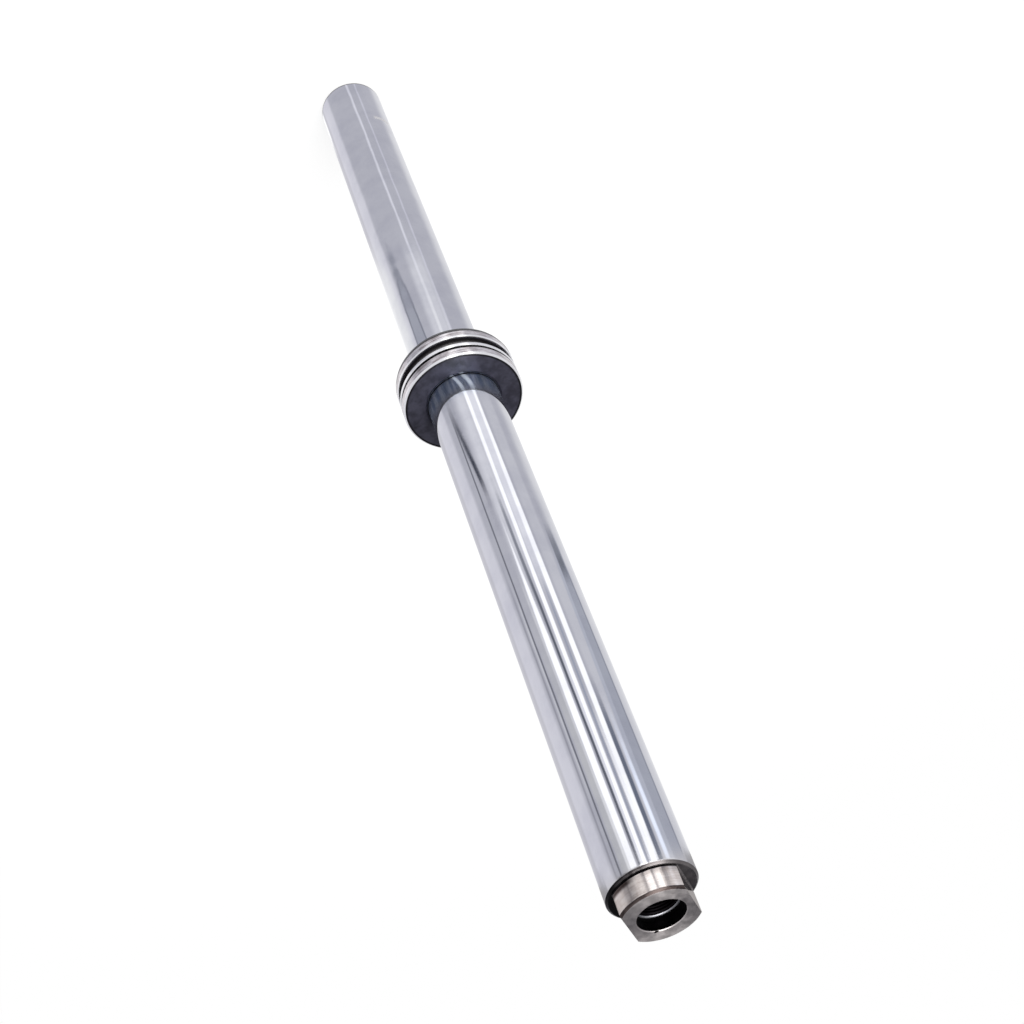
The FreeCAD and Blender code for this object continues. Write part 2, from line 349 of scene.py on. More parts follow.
# %% Lay the floor and hang the soft box
FLOOR_WIDTH = 12.0
SOFT_BOX_WIDTH = 1.6
SOFT_BOX_WATTS = 46.0
SOFT_BOX_PLACE = (0.5, 0.7, 2.6)
SOFT_BOX_AIM = Vector((0, 0, 0.3))
bpy.ops.object.select_all(action="DESELECT")
bpy.ops.mesh.primitive_plane_add(size=FLOOR_WIDTH, location=(0, 0, 0))
floor = bpy.context.active_object
floor.name = "studio_floor"
floor_material, tree = new_material("white_paper_floor")
floor_path = add(tree, "ShaderNodeLightPath").outputs
place = add(tree, "ShaderNodeTexCoord").outputs["Object"]
grain = add(tree, NOISE, Vector=place, Scale=900.0)
paper = add(tree, MIX, COLOUR_MIX, i0=grain, i6=WHITE, i7=linear("#FBFBFB"))
matt_paper = add(tree, "ShaderNodeBsdfDiffuse", Color=paper)
pure_white = add(tree, "ShaderNodeEmission", Color=WHITE, Strength=1.0)
from_part = add(tree, VECTOR_MATH, LENGTH, i0=place)
glow = add(tree, RANGE, SOFT_STEP, i0=from_part, i1=0.25, i2=1.2, i3=0.72)
share = add(tree, MATH, MULTIPLY, i0=floor_path["Is Camera Ray"], i1=glow)
sheet = add(tree, MIX_SHADER, Fac=share, i1=matt_paper, i2=pure_white)
see_through = add(tree, "ShaderNodeBsdfTransparent")
for_all = add(tree, MIX_SHADER, Fac=floor_path["Is Glossy Ray"], i1=sheet, i2=see_through)
add(tree, "ShaderNodeOutputMaterial", Surface=for_all)
floor.data.materials.append(floor_material)

lamp_data = bpy.data.lights.new("soft_box", "AREA")
lamp_data.shape = "SQUARE"
lamp_data.size = SOFT_BOX_WIDTH
lamp_data.energy = SOFT_BOX_WATTS
lamp = bpy.data.objects.new("soft_box", lamp_data)
lamp.location = SOFT_BOX_PLACE
lamp.rotation_euler = (SOFT_BOX_AIM - lamp.location).to_track_quat("-Z", "Y").to_euler()
bpy.context.scene.collection.objects.link(lamp)
print("floor in metres:", FLOOR_WIDTH, "soft box in watts:", SOFT_BOX_WATTS)

# %% [markdown]
# ## Turning the bar
# The real bar is turned on a lathe, so the model is too: a disc is added, and its top is pulled along the bar
# and widened or narrowed, step by step, as the tool moved. The disc starts at the bottom of the centre hole
# in the plain end, goes out over the end face, along the wall, in over the shoulder and the spigot, and down
# into the socket to the bottom of the thread's core. A fan of triangles closes each tip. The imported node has
# the same shape with few faces. A mirror shows every facet, so this finer piece takes its place.

# %% Turn the bar from a disc
ROUND_STEPS = 144
BAR = 22.5
SEAT = 22.75
SHOULDER = 722.0
RELIEF = 20.5
SPIGOT = 21.0
END = 735.0
SOCKET = 12.0
LEDGE = 727.5
THREAD_CORE = 10.188
THREAD_END = 689.5
PILOT = 2.5
PILOT_LENGTH = 6.0
CENTRE_MOUTH = 5.3
CENTRE_ANGLE = math.radians(30)
DRILL_ANGLE = math.radians(59)
PILOT_END = PILOT_LENGTH + (CENTRE_MOUTH - PILOT) / math.tan(CENTRE_ANGLE)
BAR_OUTLINE = [
    # the centre hole and the plain end
    (PILOT, PILOT_END), (PILOT, PILOT_END - PILOT_LENGTH), (CENTRE_MOUTH, 0.0), (BAR - 0.8, 0.0), (BAR, 0.8),
    # the plated wall, with the seat that the piston is shrunk on
    (BAR, 1.5), (BAR, 120.0), (BAR, 240.0), (BAR, 333.0), (BAR, 333.65), (SEAT, 333.9), (SEAT, 334.4),
    (SEAT, 360.0), (SEAT, 360.5), (BAR, 360.75), (BAR, 361.4), (BAR, 480.0), (BAR, 600.0), (BAR, 720.2),
    # the chamfer, the shoulder and the rounded relief groove at the spigot's root
    (BAR, 720.8), (BAR - 1.2, SHOULDER), (20.8, SHOULDER), (20.59, 722.09), (RELIEF, 722.3),
    (RELIEF, 722.68), (20.59, 722.89), (SPIGOT, 723.3),
    # the spigot and its end face
    (SPIGOT, 723.7), (SPIGOT, 733.4), (SPIGOT, 733.8), (SPIGOT - 1.2, END), (19.4, END), (12.8, END),
    # the counterbore, the ledge, the thread's chamfered mouth and its core
    (SOCKET + 0.4, END), (SOCKET, END - 0.4), (SOCKET, LEDGE), (11.4, LEDGE), (11.0, LEDGE - 0.4),
    (THREAD_CORE, 726.288), (THREAD_CORE, THREAD_END),
]


def only_object(obj):
    """Makes obj the one selected and active object."""
    bpy.ops.object.select_all(action="DESELECT")
    obj.select_set(True)
    bpy.context.view_layer.objects.active = obj


def select_by(obj, kind, wanted):
    """In edit mode: selects the vertices or edges whose place passes wanted, and nothing else."""
    bpy.ops.mesh.select_mode(type=kind)
    bpy.ops.mesh.select_all(action="DESELECT")
    bpy.ops.object.mode_set(mode="OBJECT")
    mesh = obj.data
    for item in {"VERT": mesh.vertices, "EDGE": mesh.edges}[kind]:
        if kind == "VERT":
            place = item.co
        else:
            place = (mesh.vertices[item.vertices[0]].co + mesh.vertices[item.vertices[1]].co) / 2
        item.select = bool(wanted(place))
    bpy.ops.object.mode_set(mode="EDIT")


def turn_from_disc(name, outline):
    """A closed turned piece: the disc's top is pulled through each (radius, height) in millimetres."""
    first_radius, first_height = outline[0]
    bpy.ops.object.select_all(action="DESELECT")
    bpy.ops.mesh.primitive_circle_add(vertices=ROUND_STEPS, radius=first_radius * MM, fill_type="TRIFAN",
                                      location=(0, 0, first_height * MM))
    piece = bpy.context.active_object
    piece.name = name
    bpy.ops.object.transform_apply(location=True, rotation=False, scale=False)
    bpy.ops.object.mode_set(mode="EDIT")
    bpy.ops.mesh.select_mode(type="FACE")
    bpy.ops.mesh.select_all(action="SELECT")
    for (radius, height), (next_radius, next_height) in zip(outline, outline[1:]):
        lift = (0, 0, (next_height - height) * MM)
        bpy.ops.mesh.extrude_region_move(TRANSFORM_OT_translate={"value": lift})
        share = next_radius / radius
        bpy.ops.transform.resize(value=(share, share, 1), center_override=(0, 0, next_height * MM))
    return piece


bar = turn_from_disc("chromed_bar", BAR_OUTLINE)
for height, radius, sign in ((PILOT_END, PILOT, 1), (THREAD_END, THREAD_CORE, -1)):
    tip = height * MM
    select_by(bar, "VERT", lambda place: place.xy.length < 0.01 * MM and abs(place.z - tip) < 0.01 * MM)
    bpy.ops.transform.translate(value=(0, 0, sign * radius * MM / math.tan(DRILL_ANGLE)))
bpy.ops.mesh.select_all(action="SELECT")
bpy.ops.mesh.normals_make_consistent(inside=False)
bpy.ops.object.mode_set(mode="OBJECT")
print("turned bar:", len(bar.data.vertices), "vertices,", len(bar.data.polygons), "faces")

# %% [markdown]
# ## Milling the flats and tapping the thread
# Two cutters do the rest, as on the real part. A milling cutter's sweep, a block with one rounded bottom
# edge, takes each flat off the spigot. A tap, one thread tooth swept round in a screw, cuts the thread into
# the socket's wall. Both are taken away from the bar with a Boolean, which is how a cutter works. Between
# them a narrow bevel breaks the sharp edges, as a file does on the real part, and a small ball takes out the
# nick that wear has left in the socket's lip. The thread comes last, so that the bevel can't round its
# crests.

# %% Mill the two flats
FLAT = 16.0
ROOT_RADIUS = 0.8
CUTTER_DEPTH = 20
CUTTER_WIDTH = 60
CUTTER_LIFT = 0.02
CLOSE = 0.1
cut_low = SHOULDER + CUTTER_LIFT


def take_away(piece, cutter):
    """Cuts the piece with the cutter, and throws the cutter away."""
    only_object(piece)
    cut = piece.modifiers.new("cut", "BOOLEAN")
    cut.operation = "DIFFERENCE"
    cut.solver = "EXACT"
    cut.object = cutter
    bpy.ops.object.modifier_apply(modifier=cut.name)
    bpy.data.objects.remove(cutter)


for side in (1, -1):
    bpy.ops.object.select_all(action="DESELECT")
    bpy.ops.mesh.primitive_cube_add(size=1, location=(
        side * (FLAT + CUTTER_DEPTH / 2) * MM, 0, (cut_low + CUTTER_DEPTH / 2) * MM))
    cutter = bpy.context.active_object
    cutter.scale = (CUTTER_DEPTH * MM, CUTTER_WIDTH * MM, CUTTER_DEPTH * MM)
    bpy.ops.object.transform_apply(location=True, rotation=False, scale=True)
    bpy.ops.object.mode_set(mode="EDIT")
    select_by(cutter, "EDGE", lambda place: abs(abs(place.x) - FLAT * MM) < CLOSE * MM
              and abs(place.z - cut_low * MM) < CLOSE * MM)
    bpy.ops.mesh.bevel(offset=ROOT_RADIUS * MM, segments=5, affect="EDGES")
    bpy.ops.object.mode_set(mode="OBJECT")
    take_away(bar, cutter)
print("bar with flats:", len(bar.data.polygons), "faces")

# %% Break the sharp edges
EDGE_BREAK = 0.12
SHARP_ANGLE = math.radians(32)
only_object(bar)
edge_break = bar.modifiers.new("edge_break", "BEVEL")
edge_break.width = EDGE_BREAK * MM
edge_break.segments = 2
edge_break.limit_method = "ANGLE"
edge_break.angle_limit = SHARP_ANGLE
bpy.ops.object.modifier_apply(modifier=edge_break.name)
print("bar with broken edges:", len(bar.data.polygons), "faces")

# %% Nick the lip of the socket
NICK_ANGLE = math.radians(-121)
NICK_FROM_AXIS = 12.4
NICK_HEIGHT = 735.2
NICK_RADIUS = 0.8
bpy.ops.object.select_all(action="DESELECT")
bpy.ops.mesh.primitive_ico_sphere_add(subdivisions=2, radius=NICK_RADIUS * MM, location=(
    NICK_FROM_AXIS * math.cos(NICK_ANGLE) * MM, NICK_FROM_AXIS * math.sin(NICK_ANGLE) * MM, NICK_HEIGHT * MM))
nick = bpy.context.active_object
nick.scale = (1.8, 1.0, 1.0)
bpy.ops.object.transform_apply(location=False, rotation=False, scale=True)
take_away(bar, nick)
print("bar with a nick:", len(bar.data.polygons), "faces")

# %% Tap the thread
PITCH = 1.5
MAJOR = 11.0
TOOTH_ROOT = 10.09
TAP_TOP = 728.6
TURNS = 27
THREAD_STEPS = 72
TOOTH_ANGLE = math.radians(30)
SMOOTH_ANGLE = math.radians(28)
half_crest = PITCH / 16
half_tooth = (MAJOR - TOOTH_ROOT) * math.tan(TOOTH_ANGLE) + half_crest
bpy.ops.object.select_all(action="DESELECT")
bpy.ops.mesh.primitive_plane_add(size=1, location=(0, 0, 0))
tap = bpy.context.active_object
tap.name = "tap"
bpy.ops.object.mode_set(mode="EDIT")
bpy.ops.mesh.select_all(action="SELECT")
bpy.ops.transform.rotate(value=math.radians(90), orient_axis="X", center_override=(0, 0, 0))
bpy.ops.transform.resize(value=((MAJOR - TOOTH_ROOT) * MM, 1, 2 * half_tooth * MM), center_override=(0, 0, 0))
select_by(tap, "VERT", lambda place: place.x > 0)
bpy.ops.transform.resize(value=(1, 1, half_crest / half_tooth), center_override=(0, 0, 0))
bpy.ops.mesh.select_all(action="SELECT")
bpy.ops.transform.translate(value=((MAJOR + TOOTH_ROOT) / 2 * MM, 0, (TAP_TOP - TURNS * PITCH) * MM))
bpy.ops.object.mode_set(mode="OBJECT")
sweep = tap.modifiers.new("sweep", "SCREW")
sweep.axis = "Z"
sweep.angle = 2 * math.pi
sweep.steps = THREAD_STEPS
sweep.render_steps = THREAD_STEPS
sweep.iterations = TURNS
sweep.screw_offset = PITCH * MM
sweep.use_merge_vertices = False
bpy.ops.object.modifier_apply(modifier=sweep.name)
bpy.ops.object.mode_set(mode="EDIT")
bpy.ops.mesh.select_all(action="SELECT")
bpy.ops.mesh.remove_doubles(threshold=0.001 * MM)
bpy.ops.mesh.normals_make_consistent(inside=False)
bpy.ops.object.mode_set(mode="OBJECT")
print("tap:", len(tap.data.polygons), "faces")
take_away(bar, tap)
only_object(bar)
bpy.ops.object.shade_smooth_by_angle(angle=SMOOTH_ANGLE)
even_normals = bar.modifiers.new("even_normals", "WEIGHTED_NORMAL")
even_normals.keep_sharp = True
bpy.ops.object.modifier_apply(modifier=even_normals.name)
size = [round(side / MM, 2) for side in bar.dimensions]
print("threaded bar:", len(bar.data.polygons), "faces, size in mm:", size)

# %% [markdown]
# ## Finish: hard chrome plate
# Hard chrome is electroplated onto the ground bar and ground again between centres. The stone leaves rings
# too fine to see one by one, but they blur every reflection along the bar and hardly at all round it, so a
# lamp becomes a long crisp-sided streak. That is an anisotropic roughness, turned a quarter so that it runs
# along the bar. A very low, long waviness in the wall keeps the streaks from being ruler-straight. The rings
# themselves are drawn some twenty times coarser than the stone leaves them, or they would not show at all.

# %% Make the clean chrome
CHROME_HEX = "#D5D6DB"
SMUDGED_HEX = "#CBCCD3"
chrome, tree = new_material("hard_chrome_plate")
place = add(tree, "ShaderNodeTexCoord").outputs["Object"]
xyz = add(tree, "ShaderNodeSeparateXYZ", Vector=place).outputs
along = xyz[2]
round_angle = add(tree, MATH, ARCTAN2, i0=xyz[1], i1=xyz[0])
stretched = add(tree, MAPPING, Vector=place, Scale=(1, 1, 0.35))
wave = add(tree, NOISE, Vector=stretched, Scale=60.0, Detail=2.0)
rings = add(tree, MAPPING, Vector=place, Scale=(1, 1, 22))
ring_noise = add(tree, NOISE, Vector=rings, Scale=70.0, Detail=3.0, Roughness=0.6)
wavy = add(tree, RANGE, SOFT_STEP, i0=along, i1=200 * MM, i2=380 * MM, i3=0.45, i4=0.10)
wave_bump = add(tree, "ShaderNodeBump", Strength=wavy, Distance=0.6 * MM, Height=wave)
ring_bump = add(tree, "ShaderNodeBump", Strength=0.03, Distance=0.05 * MM, Height=ring_noise,
                Normal=wave_bump)
smudge = add(tree, NOISE, Vector=place, Scale=42.0, Detail=5.0, Roughness=0.62)
smudged = add(tree, RANGE, SOFT_STEP, i0=smudge, i1=0.35, i2=0.72)
tone = add(tree, MIX, COLOUR_MIX, i0=smudged, i6=linear(CHROME_HEX), i7=linear(SMUDGED_HEX))
rough = add(tree, RANGE, SOFT_STEP, i0=smudge, i1=0.3, i2=0.75, i3=0.045, i4=0.075)
print("nodes of the clean chrome:", len(tree.nodes))

# %% [markdown]
# ### A painted reflection and a scuff on the plate
# Just above the piston the plate is painted bluish, with a ragged upper edge, fading upwards and varying in
# bands round the bar: a painted reflection of the piston's blue-black near face. Two paler streaks in it,
# which hook to one side, are painted reflections of the tube lamps. Both are laid over the chrome's colour by
# height and by the angle round the bar, in radians. Where they lie, the metal is made a little less metallic,
# so that the painted colours show. Near the plain end a tool has scuffed the plate along a short slanting
# line, which is pale and rough.

# %% Paint the face's reflection and the lamp streaks on the chrome
FACE_REFLECTION_START = 355 * MM
FACE_REFLECTION_FULL = 361 * MM
FACE_REFLECTION_FADES = 372 * MM
FACE_REFLECTION_END = 386 * MM
# Painted reflections of the tube lamps: the angle and half width of each streak, in radians.
LAMP_STREAKS = ((1.065, 0.072), (1.335, 0.052))
HOOK_HEIGHT = 377 * MM
HOOK_PER_METRE = 60.0
# Painted reflection of the piston's near face: a bluish tint just above the piston that fades upwards.
starts = add(tree, RANGE, SOFT_STEP, i0=along, i1=FACE_REFLECTION_START, i2=FACE_REFLECTION_FULL)
ragged = add(tree, MATH, MULTIPLY_ADD, i0=smudge, i1=8 * MM, i2=along)
fades = add(tree, RANGE, SOFT_STEP, i0=ragged, i1=FACE_REFLECTION_FADES, i2=FACE_REFLECTION_END, i3=1.0, i4=0.0)
painted_face_reflection = add(tree, MATH, MULTIPLY, i0=starts, i1=fades)
# The painted reflection's tint varies in bands round the bar.
face_reflection_bands = add(tree, NOISE, ALONG_A_LINE, W=round_angle, Scale=7.0, Detail=2.0)
face_reflection_bands = add(tree, RANGE, SOFT_STEP, i0=face_reflection_bands, i1=0.38, i2=0.62)
face_reflection_tone = add(tree, MIX, COLOUR_MIX, i0=face_reflection_bands, i6=linear("#8897B2"), i7=linear("#BBC5D6"))
tone = add(tree, MIX, COLOUR_MIX, i0=painted_face_reflection, i6=tone, i7=face_reflection_tone)
below_hook = add(tree, MATH, SUBTRACT, i0=HOOK_HEIGHT, i1=along)
below_hook = add(tree, MATH, MULTIPLY, i0=below_hook, i1=HOOK_PER_METRE)
hook = add(tree, MATH, MULTIPLY, i0=add(tree, MATH, MULTIPLY, i0=below_hook, i1=below_hook), i1=-0.15)
# Two paler streaks, hooking to one side, painted as reflections of the tube lamps.
painted_streaks = 0.0
for angle, half in LAMP_STREAKS:
    aside = add(tree, MATH, ADD, i0=hook, i1=add(tree, MATH, SUBTRACT, i0=round_angle, i1=angle))
    off = add(tree, MATH, ABSOLUTE, i0=aside)
    lamp_streak = add(tree, RANGE, SOFT_STEP, i0=off, i1=half * 0.3, i2=half * 1.5, i3=1.0, i4=0.0)
    painted_streaks = add(tree, MATH, MAXIMUM, i0=painted_streaks, i1=lamp_streak)
painted_streaks = add(tree, MATH, MULTIPLY, i0=painted_streaks, i1=painted_face_reflection)
tone = add(tree, MIX, COLOUR_MIX, i0=painted_streaks, i6=tone, i7=linear("#E2ECFA"))
# Under the painted reflection and the painted lamp streaks the metal is less metallic, so the painted colours
# show.
metal = add(tree, MATH, MULTIPLY_ADD, i0=painted_streaks, i1=-0.42, i2=1.0)
metal = add(tree, MATH, MULTIPLY_ADD, i0=painted_face_reflection, i1=-0.15, i2=metal)
print("nodes of the chrome with its oil:", len(tree.nodes))

# %% Scuff the chrome near the plain end
SCUFF_HEIGHT = 47.5 * MM
SCUFF_LEAN = 4 * MM
scuff_line = add(tree, MATH, MULTIPLY_ADD, i0=round_angle, i1=SCUFF_LEAN, i2=SCUFF_HEIGHT)
off_line = add(tree, MATH, ABSOLUTE, i0=add(tree, MATH, SUBTRACT, i0=along, i1=scuff_line))
scuff = add(tree, RANGE, SOFT_STEP, i0=off_line, i1=0.8 * MM, i2=2.8 * MM, i3=0.8, i4=0.0)
begins = add(tree, RANGE, SOFT_STEP, i0=round_angle, i1=0.08, i2=0.20)
stops_at = add(tree, RANGE, SOFT_STEP, i0=round_angle, i1=0.74, i2=0.86, i3=1.0, i4=0.0)
scuff = add(tree, MATH, MULTIPLY, i0=add(tree, MATH, MULTIPLY, i0=scuff, i1=begins), i1=stops_at)
tone = add(tree, MIX, COLOUR_MIX, i0=scuff, i6=tone, i7=linear("#F4F1EC"))
rough = add(tree, MATH, MULTIPLY_ADD, i0=scuff, i1=0.35, i2=rough)
around = add(tree, TANGENT, ROUND_THE_BAR)
shader = add(tree, "ShaderNodeBsdfPrincipled", Base_Color=tone, Metallic=metal, Roughness=rough,
             Normal=ring_bump, Anisotropic=0.6, Anisotropic_Rotation=0.25, Tangent=around)
add(tree, "ShaderNodeOutputMaterial", Surface=shader)
print("nodes of the whole chrome:", len(tree.nodes))

# %% [markdown]
# ## Finish: bare turned steel
# The spigot was turned after plating, so it is bare steel: warmer, softer, with fine tool rings. The end face
# is the same steel, faced and then dulled. The shoulder is rougher and darker, greyer on one side and nearly
# black on the other. The spigot's root is painted darker, a painted shade. The socket is painted nearly
# black, a painted shade in the hollow. Each surface gets its own material from one recipe, laid on the faces
# by their place. A ring's spacing is that of a turning tool's feed, 0.3 to 0.6 mm. Angles round the bar are
# in radians, counted from the first flat.

# %% Make the bare steels
# Painted shade at the spigot's root.
ROOT_SHADE_HEX = "#4A403E"
# The next two tones make one side greyer and the opposite side nearly black.
SIDE_GREY_HEX = "#9E9896"
SIDE_BLACK_HEX = "#0C0A0B"
RING_STRETCH = 30


def ringed_steel(name, light_hex, dark_hex, roughness, ring_mm, bump, along_axis=True, painted_root_shade=False,
                 side_tones=False):
    """Steel with the rings of a turning tool, ring_mm apart, along the axis or across a face."""
    material, tree = new_material(name)
    place = add(tree, "ShaderNodeTexCoord").outputs["Object"]
    xyz = add(tree, "ShaderNodeSeparateXYZ", Vector=place).outputs
    if along_axis:
        rings = add(tree, MAPPING, Vector=place, Scale=(1, 1, RING_STRETCH))
        tool = add(tree, NOISE, Vector=rings, Scale=1 / (ring_mm * MM * RING_STRETCH), Detail=2.0)
    else:
        flat = add(tree, "ShaderNodeCombineXYZ", X=xyz[0], Y=xyz[1])
        radius = add(tree, VECTOR_MATH, LENGTH, i0=flat)
        wobble = add(tree, NOISE, Vector=place, Scale=160.0)
        wobble = add(tree, MATH, MULTIPLY_ADD, i0=wobble, i1=0.25 * MM, i2=radius)
        tool = add(tree, NOISE, ALONG_A_LINE, W=wobble, Scale=1 / (ring_mm * MM), Detail=2.0)
    stain = add(tree, NOISE, Vector=place, Scale=190.0, Detail=6.0, Roughness=0.65)
    shade = add(tree, MATH, MULTIPLY_ADD, i0=tool, i1=0.45, i2=add(tree, MATH, MULTIPLY, i0=stain, i1=0.55))
    shade = add(tree, RANGE, SOFT_STEP, i0=shade, i1=0.36, i2=0.66)
    tone = add(tree, MIX, COLOUR_MIX, i0=shade, i6=linear(dark_hex), i7=linear(light_hex))
    rough = add(tree, RANGE, SOFT_STEP, i0=stain, i1=0.3, i2=0.7, i3=roughness - 0.05, i4=roughness + 0.07)
    # Painted shade at the spigot's root: darker towards the shoulder, a little all round and most on one side.
    if painted_root_shade:
        round_angle = add(tree, MATH, ARCTAN2, i0=xyz[1], i1=xyz[0])
        edge = add(tree, MATH, MULTIPLY_ADD, i0=stain, i1=1.6 * MM, i2=xyz[2])
        comes = add(tree, RANGE, SOFT_STEP, i0=round_angle, i1=1.70, i2=1.95, i3=0.35)
        goes = add(tree, RANGE, SOFT_STEP, i0=round_angle, i1=2.50, i2=2.75, i3=1.0, i4=0.35)
        low = add(tree, RANGE, SOFT_STEP, i0=edge, i1=725.4 * MM, i2=727.4 * MM, i3=1.0, i4=0.0)
        overlay = add(tree, MATH, MULTIPLY, i0=add(tree, MATH, MULTIPLY, i0=comes, i1=goes), i1=low)
        tone = add(tree, MIX, COLOUR_MIX, i0=overlay, i6=tone, i7=linear(ROOT_SHADE_HEX))
    # One side greyer and the opposite side nearly black.
    if side_tones:
        round_angle = add(tree, MATH, ARCTAN2, i0=xyz[1], i1=xyz[0])
        for middle, start, full, most, side_hex in (
                (0.5, 0.55, 0.95, 0.4, SIDE_GREY_HEX), (3.2, 0.20, 0.70, 0.95, SIDE_BLACK_HEX)):
            facing = add(tree, MATH, COSINE, i0=add(tree, MATH, SUBTRACT, i0=round_angle, i1=middle))
            overlay = add(tree, RANGE, SOFT_STEP, i0=facing, i1=start, i2=full, i4=most)
            tone = add(tree, MIX, COLOUR_MIX, i0=overlay, i6=tone, i7=linear(side_hex))
    relief = add(tree, "ShaderNodeBump", Strength=bump, Distance=0.05 * MM, Height=tool)
    around = add(tree, TANGENT, ROUND_THE_BAR)
    shader = add(tree, "ShaderNodeBsdfPrincipled", Base_Color=tone, Metallic=1.0, Roughness=rough,
                 Normal=relief, Anisotropic=0.5, Anisotropic_Rotation=0.25, Tangent=around)
    add(tree, "ShaderNodeOutputMaterial", Surface=shader)
    return material


# The spigot's steel carries the painted shade at its root.
spigot_steel = ringed_steel("fine_turned_steel", "#DDD7D4", "#C3BAB7", 0.09, 0.35, 0.05, painted_root_shade=True)
end_steel = ringed_steel("dulled_faced_steel", "#CFC9C7", "#B2ACAA", 0.50, 0.30, 0.25, along_axis=False)
shoulder_steel = ringed_steel("dark_rough_turned_steel", "#6C6867", "#282526", 0.36, 0.40, 0.8,
                              along_axis=False, side_tones=True)
# Nearly black steel for the socket, the centre hole, the relief groove and the gap at the piston's bore:
# painted shade in hollows and gaps.
shade_black_steel = ringed_steel("black_painted_shade_steel", "#161416", "#0A080A", 0.45, 0.5, 0.4)
ledge_steel = ringed_steel("cut_bright_steel", "#A2A2A5", "#808084", 0.45, 0.3, 0.2)
milled_steel = ringed_steel("brown_milled_steel", "#A8A2A0", "#767170", 0.30, 0.60, 0.4, side_tones=True)
# The chamfers at both ends are dark steel.
edge_steel = ringed_steel("dark_edge_steel", "#5E5451", "#241E1D", 0.42, 0.40, 0.4)
print("nodes of the spigot's steel:", len(spigot_steel.node_tree.nodes))

# %% Lay the finishes on the bar's faces
FINISHES = [chrome, spigot_steel, end_steel, shoulder_steel, shade_black_steel, ledge_steel, milled_steel,
            edge_steel]
for material in FINISHES:
    bar.data.materials.append(material)


def finish_of(face):
    """The finish that a face of the bar gets, from its place and the way it points. The first fit counts."""
    height = face.center.z / MM
    radius = math.hypot(face.center.x, face.center.y) / MM
    aside = abs(face.center.x) / MM
    up = face.normal.z
    inward = face.normal.x * face.center.x + face.normal.y * face.center.y < 0
    rules = (
        # the plain end, its centre hole, painted black as shade, and its chamfer
        (height < 0.1 and up < -0.9, end_steel),
        (height < 30 and radius < 6, shade_black_steel),
        (height < 1.3 and radius > 21, edge_steel),
        # the gap in the piston's bore mouth, painted black as shade between bar and piston, then all the
        # plated wall
        (359.9 < height < 360.8 and radius > 15 and abs(up) < 0.99, shade_black_steel),
        (height < 720.9 and radius > 15, chrome),
        # the end face, the ledge, the thread's mouth and the socket, painted black as shade
        (height > 734.9 and up > 0.9, end_steel),
        (radius < 12.2 and up > 0.9 and abs(height - LEDGE) < 0.2, ledge_steel),
        (11.02 < radius < 11.5 and up > 0.5 and 727.0 < height < 727.6, ledge_steel),
        (12.45 < radius < 13.8 and 734.2 < height < 734.99 and up < 0.97, shade_black_steel),
        (radius < 12.08 and inward or radius < 11.6, shade_black_steel),
        (radius < 12.6, end_steel),
        # the spigot's chamfer, the relief groove, painted black as shade, the flats and their feet
        (height > 733.7 and 0.3 < up < 0.95, edge_steel),
        (722.05 < height < 723.25 and 20.3 < radius < 20.9, shade_black_steel),
        (abs(face.normal.x) > 0.9 and abs(aside - FLAT) < 0.3, spigot_steel),
        (aside > FLAT and height < 723 and radius < 21.2, milled_steel),
        (height < 723.2, shoulder_steel),
    )
    return next((finish for fits, finish in rules if fits), spigot_steel)


counts = dict.fromkeys([finish.name for finish in FINISHES], 0)
for face in bar.data.polygons:
    finish = finish_of(face)
    face.material_index = FINISHES.index(finish)
    counts[finish.name] += 1
print("faces by finish:", counts)
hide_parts("rod")
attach(bar, "root")

# %% [markdown]
# ## Finish: the piston
# The ring is turned, black-oxidised and then ground on its rim. So the grooves, the lead-in and both faces
# are blue-black, while the three lands and their edges are bright. The node's shape is right, so it stays,
# and one material tells the surfaces apart by their distance from the axis and their height: only the ground
# lands reach the full radius. Handling has left smears and fine dark spots in the oxide. Bands near the
# lands' edges are painted almost white, as painted highlights. The groove is painted darker towards its
# walls, and a black line is painted near the rim, as painted shade.

# %% Tell the piston's surfaces apart
RIM = 37.4
LAND_DEPTH = 1.02
LEAD_IN_TOP = 337.3
GROOVE_MIDDLE = 347.3
NEAR_FACE = 359.0
# Stations of the painted highlight bands on the lands, in mm.
PAINTED_HIGHLIGHT_BANDS = ((341.6, 343.2), (349.0, 351.9), (358.8, 360.3))
BAND_EDGE = 0.06
oxide, tree = new_material("black_oxidised_steel_with_ground_lands")
place = add(tree, "ShaderNodeTexCoord").outputs["Object"]
xyz = add(tree, "ShaderNodeSeparateXYZ", Vector=place).outputs
height = xyz[2]
flat = add(tree, "ShaderNodeCombineXYZ", X=xyz[0], Y=xyz[1])
radius = add(tree, VECTOR_MATH, LENGTH, i0=flat)
reach = add(tree, RANGE, SOFT_STEP, i0=radius, i1=(RIM - LAND_DEPTH) * MM, i2=(RIM - LAND_DEPTH + 0.1) * MM)
above_cone = add(tree, RANGE, SOFT_STEP, i0=height, i1=LEAD_IN_TOP * MM, i2=(LEAD_IN_TOP + 0.6) * MM)
lands = add(tree, MATH, MULTIPLY, i0=reach, i1=above_cone)
below_face = add(tree, RANGE, SOFT_STEP, i0=height, i1=NEAR_FACE * MM, i2=(NEAR_FACE + 0.1) * MM, i3=1.0,
                 i4=0.0)
sunk = add(tree, RANGE, SOFT_STEP, i0=radius, i1=(RIM - 2.0) * MM, i2=(RIM - 1.5) * MM, i3=1.0, i4=0.0)
inner = add(tree, RANGE, SOFT_STEP, i0=radius, i1=33.5 * MM, i2=34.3 * MM)
groove = add(tree, MATH, MULTIPLY, i0=add(tree, MATH, MULTIPLY, i0=sunk, i1=inner), i1=below_face)
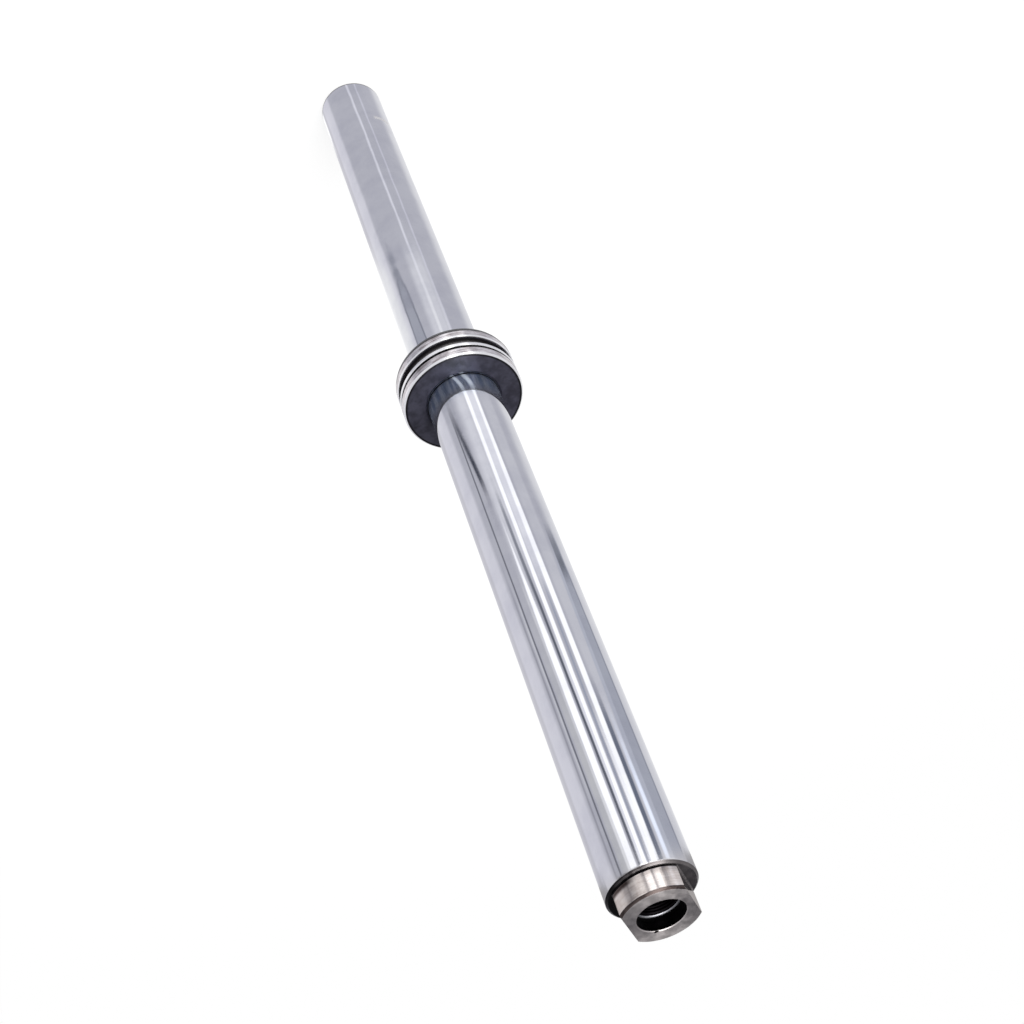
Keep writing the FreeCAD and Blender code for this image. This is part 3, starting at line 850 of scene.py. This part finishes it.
# Painted highlights: bands near the lands' edges, painted almost white.
painted_highlight = 0.0
for low, high in PAINTED_HIGHLIGHT_BANDS:
    up_to = add(tree, RANGE, SOFT_STEP, i0=height, i1=(low - BAND_EDGE) * MM, i2=(low + BAND_EDGE) * MM)
    down_to = add(tree, RANGE, SOFT_STEP, i0=height, i1=(high - BAND_EDGE) * MM, i2=(high + BAND_EDGE) * MM,
                  i3=1.0, i4=0.0)
    band = add(tree, MATH, MULTIPLY, i0=up_to, i1=down_to)
    painted_highlight = add(tree, MATH, ADD, i0=painted_highlight, i1=band)
print("burnished bands on the lands:", len(PAINTED_HIGHLIGHT_BANDS))

# %% Make the ground lands and the black oxide
rings = add(tree, MAPPING, Vector=place, Scale=(1, 1, 24))
tool = add(tree, NOISE, Vector=rings, Scale=95.0, Detail=3.0)
cloud = add(tree, NOISE, Vector=place, Scale=120.0, Detail=6.0, Roughness=0.62)
streaky = add(tree, MATH, MULTIPLY_ADD, i0=tool, i1=0.6, i2=add(tree, MATH, MULTIPLY, i0=cloud, i1=0.4))
streaky = add(tree, RANGE, SOFT_STEP, i0=streaky, i1=0.38, i2=0.62)
bright = add(tree, MIX, COLOUR_MIX, i0=streaky, i6=linear("#9A9191"), i7=linear("#F2EFF1"))
# The painted highlight bands are mixed in almost white.
painted_highlight = add(tree, MATH, MULTIPLY, i0=painted_highlight, i1=0.9)
bright = add(tree, MIX, COLOUR_MIX, i0=painted_highlight, i6=bright, i7=WHITE)

clouded = add(tree, RANGE, SOFT_STEP, i0=cloud, i1=0.34, i2=0.70)
black = add(tree, MIX, COLOUR_MIX, i0=clouded, i6=linear("#2E2D37"), i7=linear("#464552"))
# Painted shade in the groove: darker towards its walls, lighter in its middle.
from_middle = add(tree, MATH, ABSOLUTE, i0=add(tree, MATH, SUBTRACT, i0=height, i1=GROOVE_MIDDLE * MM))
groove_wall_shade = add(tree, RANGE, SOFT_STEP, i0=from_middle, i1=0.4 * MM, i2=2.4 * MM)
groove_tone = add(tree, MIX, COLOUR_MIX, i0=groove_wall_shade, i6=linear("#625D5D"), i7=linear("#1E1A1C"))
black = add(tree, MIX, COLOUR_MIX, i0=groove, i6=black, i7=groove_tone)
# Painted shade: a black line on the oxide near the rim, stronger towards the near face.
near_rim = add(tree, RANGE, SOFT_STEP, i0=radius, i1=(RIM - 2.5) * MM, i2=(RIM - 2.0) * MM)
near_top = add(tree, RANGE, SOFT_STEP, i0=height, i1=337.4 * MM, i2=350 * MM)
painted_edge_shade = add(tree, MATH, MULTIPLY, i0=add(tree, MATH, MULTIPLY, i0=near_rim, i1=near_top), i1=0.9)
black = add(tree, MIX, COLOUR_MIX, i0=painted_edge_shade, i6=black, i7=linear("#0B0A0D"))
black = add(tree, MIX, COLOUR_MIX, i0=above_cone, i6=linear("#15121A"), i7=black)
for noise_settings, start, full, most, dark_hex in (
        ({"Scale": 62.0, "Detail": 5.0, "Roughness": 0.7}, 0.55, 0.66, 0.6, "#13141B"),
        ({"Scale": 430.0, "Detail": 3.0}, 0.66, 0.74, 0.5, "#0A0B0F")):
    smear = add(tree, NOISE, Vector=place, **noise_settings)
    smear = add(tree, RANGE, SOFT_STEP, i0=smear, i1=start, i2=full, i4=most)
    black = add(tree, MIX, COLOUR_MIX, i0=smear, i6=black, i7=linear(dark_hex))

tone = add(tree, MIX, COLOUR_MIX, i0=lands, i6=black, i7=bright)
rough = add(tree, RANGE, i0=lands, i3=0.34, i4=0.20)
metal = add(tree, RANGE, i0=lands, i3=0.3)
relief = add(tree, "ShaderNodeBump", Strength=0.25, Distance=0.03 * MM, Height=tool)
stretched = add(tree, MATH, MULTIPLY, i0=lands, i1=0.4)
around = add(tree, TANGENT, ROUND_THE_BAR)
shader = add(tree, "ShaderNodeBsdfPrincipled", Base_Color=tone, Metallic=metal, Roughness=rough,
             Normal=relief, Anisotropic=stretched, Anisotropic_Rotation=0.25, Tangent=around)
add(tree, "ShaderNodeOutputMaterial", Surface=shader)
for material_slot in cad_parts["piston"].material_slots:
    material_slot.material = oxide
print("piston finish nodes:", len(tree.nodes))
